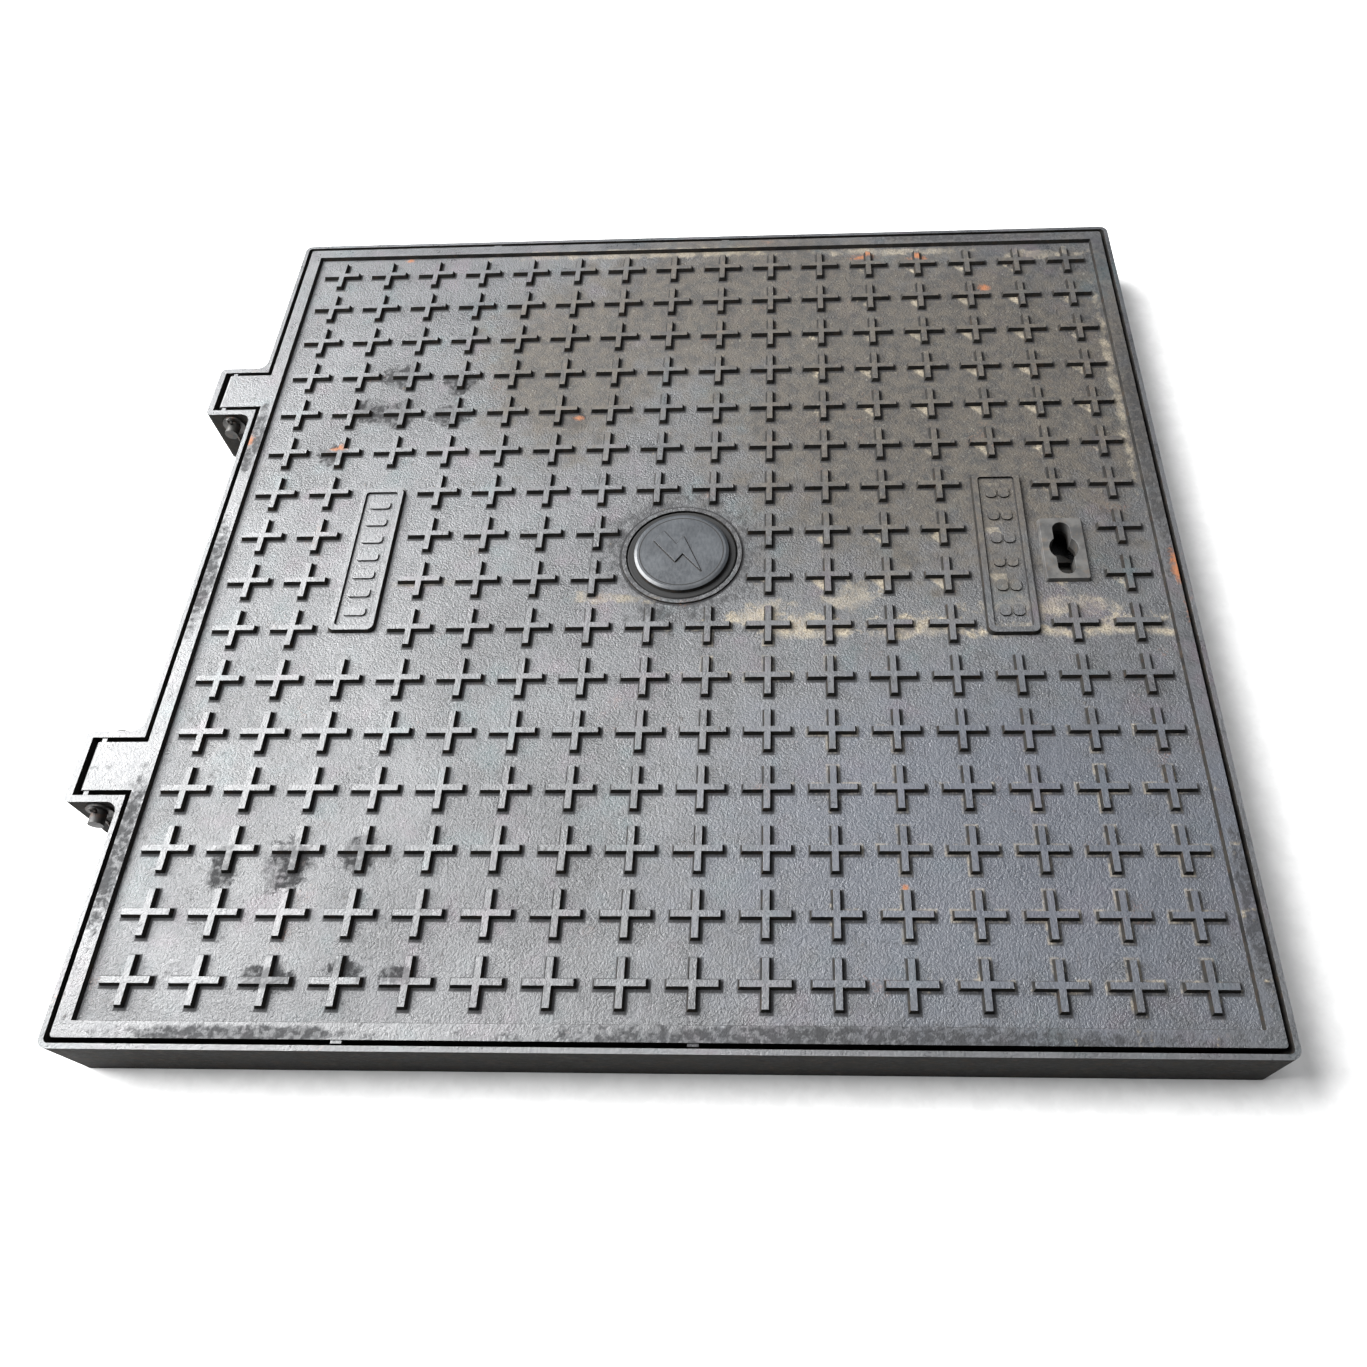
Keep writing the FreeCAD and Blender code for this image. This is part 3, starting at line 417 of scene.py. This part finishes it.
steelFinish = {
    "zinc": {"colour": (0.36, 0.36, 0.34), "worn": (0.20, 0.195, 0.18), "stain": (0.16, 0.085, 0.045),
             "stainAmount": 0.4, "metallic": 0.8, "roughness": (0.36, 0.58),
             "bumpDepth": 0.0001, "specular": 0.5},
    # dark steel for the hinge pins: partly weathering, partly painted shade, as the pins sit in shade on the
    # box sides
    "weatheredShaded": {"colour": (0.034, 0.033, 0.031), "worn": (0.014, 0.014, 0.013),
                  "stain": (0.07, 0.032, 0.016), "stainAmount": 0.5, "metallic": 0.3,
                  "roughness": (0.40, 0.62), "bumpDepth": 0.0002, "specular": 0.5},
    "dark": {"colour": (0.040, 0.040, 0.040), "worn": (0.075, 0.073, 0.070),
             "stain": (0.085, 0.066, 0.048), "stainAmount": 0.55, "metallic": 0.1,
             "roughness": (0.36, 0.52), "bumpDepth": 0.0004, "specular": 0.6},
    # near black with little sheen: painted shade for upright walls and relief sides
    "shadedWall": {"colour": (0.009, 0.009, 0.009), "worn": (0.020, 0.019, 0.017),
                     "stain": (0.040, 0.024, 0.014), "stainAmount": 0.4, "metallic": 0.0,
                     "roughness": (0.70, 0.95), "bumpDepth": 0.0008, "specular": 0.12},
    "greased": {"colour": (0.016, 0.015, 0.014), "worn": (0.035, 0.032, 0.029),
                "stain": (0.030, 0.020, 0.012), "stainAmount": 0.5, "metallic": 0.2,
                "roughness": (0.30, 0.60), "bumpDepth": 0.0003, "specular": 0.5},
}


def steelMaterial(name, finish):
    shader = Shader(name)
    cloudy = shader.noise(70.0, 5.0, 0.6)
    fine = shader.noise(900.0, 3.0, 0.6)
    scratches = shader.noise(260.0, 3.0, 0.5, stretch=(1, 9, 4))
    colour = shader.mix(shader.between(cloudy, 0.35, 0.65), finish["colour"], finish["worn"])
    stain = shader.times(shader.between(shader.noise(140.0, 6.0, 0.7, offset=(2, 7, 5)), 0.50, 0.66),
                        finish["stainAmount"])
    colour = shader.mix(stain, colour, finish["stain"])
    rough = shader.between(shader.plus(shader.times(cloudy, 0.5), shader.times(scratches, 0.5)),
                           0.35, 0.65, *finish["roughness"])
    normal = shader.bump(shader.plus(shader.times(fine, 0.5), shader.times(scratches, 0.5)),
                         finish["bumpDepth"], 0.6)
    return shader.finish(colour, rough, normal, finish["metallic"], finish["specular"])


badgePaint = {
    "colour": (0.026, 0.029, 0.033),
    "chalky": (0.042, 0.046, 0.051),
    # near black, used for dirt specks, for darkening below the face and round the sign, and as painted shade
    # in the grooves
    "grime": (0.006, 0.006, 0.006),
    "roughness": (0.32, 0.44),
    "bumpDepth": 0.00010,
    "faceHeight": 0.0615,
    "signOutline": ((-5, 27), (9, 27), (3, 8), (14, 8), (-8, -28), (-2, -3), (-13, -3)),
    "signTurn": 55.0,
    "rings": [(37.6, 0.8), (44.4, 0.9), (47.0, 1.2)],
}


def badgeMaterial(name):
    shader = Shader(name)
    cloudy = shader.noise(45.0, 5.0, 0.6)
    fine = shader.noise(1100.0, 2.0, 0.5)
    scuffs = shader.noise(180.0, 4.0, 0.6, stretch=(3, 1, 1))
    colour = shader.mix(shader.between(cloudy, 0.35, 0.65), badgePaint["colour"], badgePaint["chalky"])
    top = badgePaint["faceHeight"]
    # darker below the face of the disc
    foot = shader.between(shader.axis(2), top - 0.0028, top - 0.0012, 1.0, 0.0)
    colour = shader.mix(shader.times(foot, 0.9), colour, badgePaint["grime"])
    turn = math.radians(badgePaint["signTurn"])
    corners = [((x * math.cos(turn) - y * math.sin(turn)) / 1000,
                (x * math.sin(turn) + y * math.cos(turn)) / 1000)
               for x, y in badgePaint["signOutline"]]
    # a dark line round the foot of the raised sign, and painted shade in the grooves round the disc
    line = shader.times(shader.between(shader.outlineGap(corners), 0.0007, 0.0015, 1.0, 0.0),
                       shader.between(shader.axis(2), top + 0.0004, top + 0.0008, 1.0, 0.0))
    for radius, halfWidth in badgePaint["rings"]:
        line = shader.most(line, shader.ringLine(radius, halfWidth))
    colour = shader.mix(shader.times(line, 0.9), colour, badgePaint["grime"])
    specks = shader.between(shader.noise(520.0, 3.0, 0.6, offset=(4, 4, 4)), 0.62, 0.72)
    colour = shader.mix(shader.times(specks, 0.5), colour, badgePaint["grime"])
    rough = shader.blend(shader.most(foot, line),
                         shader.between(scuffs, 0.35, 0.65, *badgePaint["roughness"]), 0.95)
    normal = shader.bump(shader.plus(shader.times(fine, 0.4), shader.times(scuffs, 0.6)),
                         badgePaint["bumpDepth"], 0.6)
    return shader.finish(colour, rough, normal)


rubberLook = {"colour": (0.018, 0.018, 0.018), "dusty": (0.060, 0.056, 0.050), "roughness": (0.62, 0.82),
              "bumpDepth": 0.0002}


def rubberMaterial(name):
    shader = Shader(name)
    cloudy = shader.noise(60.0, 5.0, 0.6)
    fine = shader.noise(800.0, 3.0, 0.6)
    colour = shader.mix(shader.between(cloudy, 0.45, 0.75), rubberLook["colour"], rubberLook["dusty"])
    rough = shader.between(cloudy, 0.35, 0.65, *rubberLook["roughness"])
    return shader.finish(colour, rough, shader.bump(fine, rubberLook["bumpDepth"], 0.7))


# how far the edges of each piece are softened
edgeFinish = {
    "cover": {"width": 0.0006, "segments": 1, "angle": 30.0},
    "frame": {"width": 0.0009, "segments": 2, "angle": 30.0},
    "service_badge": {"width": 0.00018, "segments": 1, "angle": 25.0},
    "keyhole_plate": {"width": 0.0007, "segments": 2, "angle": 30.0},
    "lock_cup": {"width": 0.0006, "segments": 2, "angle": 30.0},
    "lock_cam": {"width": 0.0004, "segments": 2, "angle": 30.0},
    "lock_keeper": {"width": 0.0005, "segments": 2, "angle": 30.0},
}


def deselectAll():
    for other in bpy.context.selected_objects:
        other.select_set(False)


def paintWallShade(piece, material):
    # upright faces, given a near-black finish as painted shade
    piece.data.materials.append(material)
    for face in piece.data.polygons:
        if abs(face.normal.z) < 0.5:
            face.material_index = 1


# the hinge tongues step 2 mm past the border band, and the finished casting blends them into it
panelEdge = {"step": -0.4180, "foot": -0.4188, "crest": -0.4200, "middleHeight": 0.0580}


def straightenPanelEdge(mesh):
    for corner in mesh.vertices:
        onStep = abs(corner.co.x - panelEdge["step"]) < 0.0001
        if onStep and corner.co.z > castIron["panelHeight"] - 0.0005:
            high = corner.co.z > panelEdge["middleHeight"]
            corner.co.x = panelEdge["crest"] if high else panelEdge["foot"]


def softenedCopy(node, pieceName, body, material):
    size = edgeFinish[node]
    piece = bpy.data.objects.new(pieceName, nodes[node].data.copy())
    if node == "cover":
        straightenPanelEdge(piece.data)
    bpy.context.scene.collection.objects.link(piece)
    deselectAll()
    piece.select_set(True)
    bpy.context.view_layer.objects.active = piece
    bpy.ops.object.mode_set(mode="EDIT")
    bpy.ops.mesh.select_all(action="SELECT")
    bpy.ops.mesh.remove_doubles(threshold=0.00001)
    bpy.ops.mesh.dissolve_limited(angle_limit=math.radians(1.0), use_dissolve_boundaries=False)
    bpy.ops.object.mode_set(mode="OBJECT")
    bevel = piece.modifiers.new("edges", "BEVEL")
    bevel.width = size["width"]
    bevel.segments = size["segments"]
    bevel.limit_method = "ANGLE"
    bevel.angle_limit = math.radians(size["angle"])
    bpy.ops.object.shade_smooth()
    bpy.ops.object.modifier_apply(modifier=bevel.name)
    flow = piece.modifiers.new("normals", "WEIGHTED_NORMAL")
    flow.mode = "FACE_AREA"
    flow.weight = 100
    bpy.ops.object.modifier_apply(modifier=flow.name)
    facing = piece.data.attributes.new("upward", "FLOAT", "FACE")
    facing.data.foreach_set("value", [face.normal.z for face in piece.data.polygons])
    piece.data.materials.clear()
    piece.data.materials.append(material)
    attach(piece, body)
    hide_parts(node)
    print("piece:", pieceName, len(piece.data.polygons), "faces")
    return piece


coverIron = castIronMaterial("coverIron", True, 0.25)
frameIron = castIronMaterial("frameIron", False, 0.55)
cupIron = castIronMaterial("cupIron", False, 0.35)
wallShadeIron = steelMaterial("wallShadeIron", steelFinish["shadedWall"])
zincSteel = steelMaterial("zincSteel", steelFinish["zinc"])
weatheredShadedSteel = steelMaterial("weatheredShadedSteel", steelFinish["weatheredShaded"])
darkSteel = steelMaterial("darkSteel", steelFinish["dark"])
greasedSteel = steelMaterial("greasedSteel", steelFinish["greased"])
badgeEnamel = badgeMaterial("badgeEnamel")
gasketRubber = rubberMaterial("gasketRubber")
print("stage: materials made")

paintWallShade(softenedCopy("cover", "coverCasting", "cover", coverIron), wallShadeIron)
paintWallShade(softenedCopy("frame", "frameCasting", "frame", frameIron), wallShadeIron)
paintWallShade(softenedCopy("service_badge", "badgeDisc", "cover", badgeEnamel), wallShadeIron)
softenedCopy("keyhole_plate", "keyholePlate", "cover", darkSteel)
softenedCopy("lock_cup", "lockCup", "cover", cupIron)
softenedCopy("lock_cam", "lockCam", "lock", darkSteel)
softenedCopy("lock_keeper", "lockKeeper", "frame", darkSteel)
print("stage: castings and plates softened")

finishOf = {"cast_iron": frameIron, "badge_enamel": badgeEnamel, "dark_steel": darkSteel,
            "zinc_steel": zincSteel, "rubber": gasketRubber}
outdoors = ["hinge_pin_front", "hinge_washer_front", "split_pin_front",
            "hinge_pin_rear", "hinge_washer_rear", "split_pin_rear"]
inTheCup = ["lock_spindle", "lock_washer", "lock_spring", "lock_cup_screws", "keyhole_clamp_plate"]
for part in frame["record"]["subparts"]:
    node = part["node"]
    finish = finishOf[part["material_slot"]]
    if node in outdoors:
        finish = weatheredShadedSteel
    if node in inTheCup:
        finish = greasedSteel
    mesh = nodes[node].data
    mesh.materials.clear()
    mesh.materials.append(finish)
print("stage: hardware finished")


# floor, lights and room
studio = {
    "floorSize": 12.0,
    "floorColour": (0.66, 0.66, 0.66),
    "floorFleck": (0.70, 0.70, 0.70),
    "skyPlace": (-2.6, 0.9, 2.4),
    "skySize": 3.8,
    "skyPower": 760.0,
    "overheadPlace": (0.5, 0.3, 3.2),
    "overheadSize": 2.6,
    "overheadPower": 50.0,
    "worldColour": (0.75, 0.78, 0.82),
    "worldStrength": 0.14,
}


def aimedAt(place, target):
    direction = [t - p for t, p in zip(target, place)]
    length = math.sqrt(sum(d * d for d in direction))
    return (math.acos(-direction[2] / length), 0.0, math.atan2(direction[1], direction[0]) - math.pi / 2)


def areaLight(name, place, size, power, colour=(1, 1, 1)):
    light = bpy.data.lights.new(name, "AREA")
    light.shape = "DISK"
    light.size = size
    light.energy = power
    light.color = colour
    lamp = bpy.data.objects.new(name, light)
    lamp.location = place
    lamp.rotation_euler = aimedAt(place, (0, 0, 0.05))
    bpy.context.scene.collection.objects.link(lamp)


deselectAll()
bpy.ops.mesh.primitive_plane_add(size=studio["floorSize"], location=(0, 0, 0))
floor = bpy.context.active_object
floor.name = "floor"
floorPaint = Shader("floorPaint")
floorGrain = floorPaint.noise(60.0, 4.0, 0.6)
floor.data.materials.append(floorPaint.finish(
    floorPaint.mix(floorPaint.between(floorGrain, 0.4, 0.6), studio["floorColour"], studio["floorFleck"]), 0.9,
    floorPaint.bump(floorGrain, 0.0002, 0.2), 0.0, 0.2))

world = bpy.data.worlds.new("softRoom")
world.use_nodes = True
world.node_tree.nodes["Background"].inputs["Color"].default_value = (*studio["worldColour"], 1)
world.node_tree.nodes["Background"].inputs["Strength"].default_value = studio["worldStrength"]
bpy.context.scene.world = world
areaLight("skyWindow", studio["skyPlace"], studio["skySize"], studio["skyPower"])
areaLight("overhead", studio["overheadPlace"], studio["overheadSize"], studio["overheadPower"])
bpy.context.scene.view_settings.view_transform = "Standard"

cameraPlace = {
    "place": (0.0976, -0.6216, 0.8335),
    "turn": (30.878, 2.472, 1.113),
    "lens": 29.04,
    "shift": (-0.0411, 0.0155),
}
lensData = bpy.data.cameras.new("camera")
lensData.sensor_width = 36.0
lensData.lens = cameraPlace["lens"]
lensData.shift_x = cameraPlace["shift"][0]
lensData.shift_y = cameraPlace["shift"][1]
lensData.clip_start = 0.01
camera = bpy.data.objects.new("camera", lensData)
camera.location = cameraPlace["place"]
camera.rotation_euler = [math.radians(angle) for angle in cameraPlace["turn"]]
bpy.context.scene.collection.objects.link(camera)
bpy.context.scene.camera = camera
print("stage: studio ready")
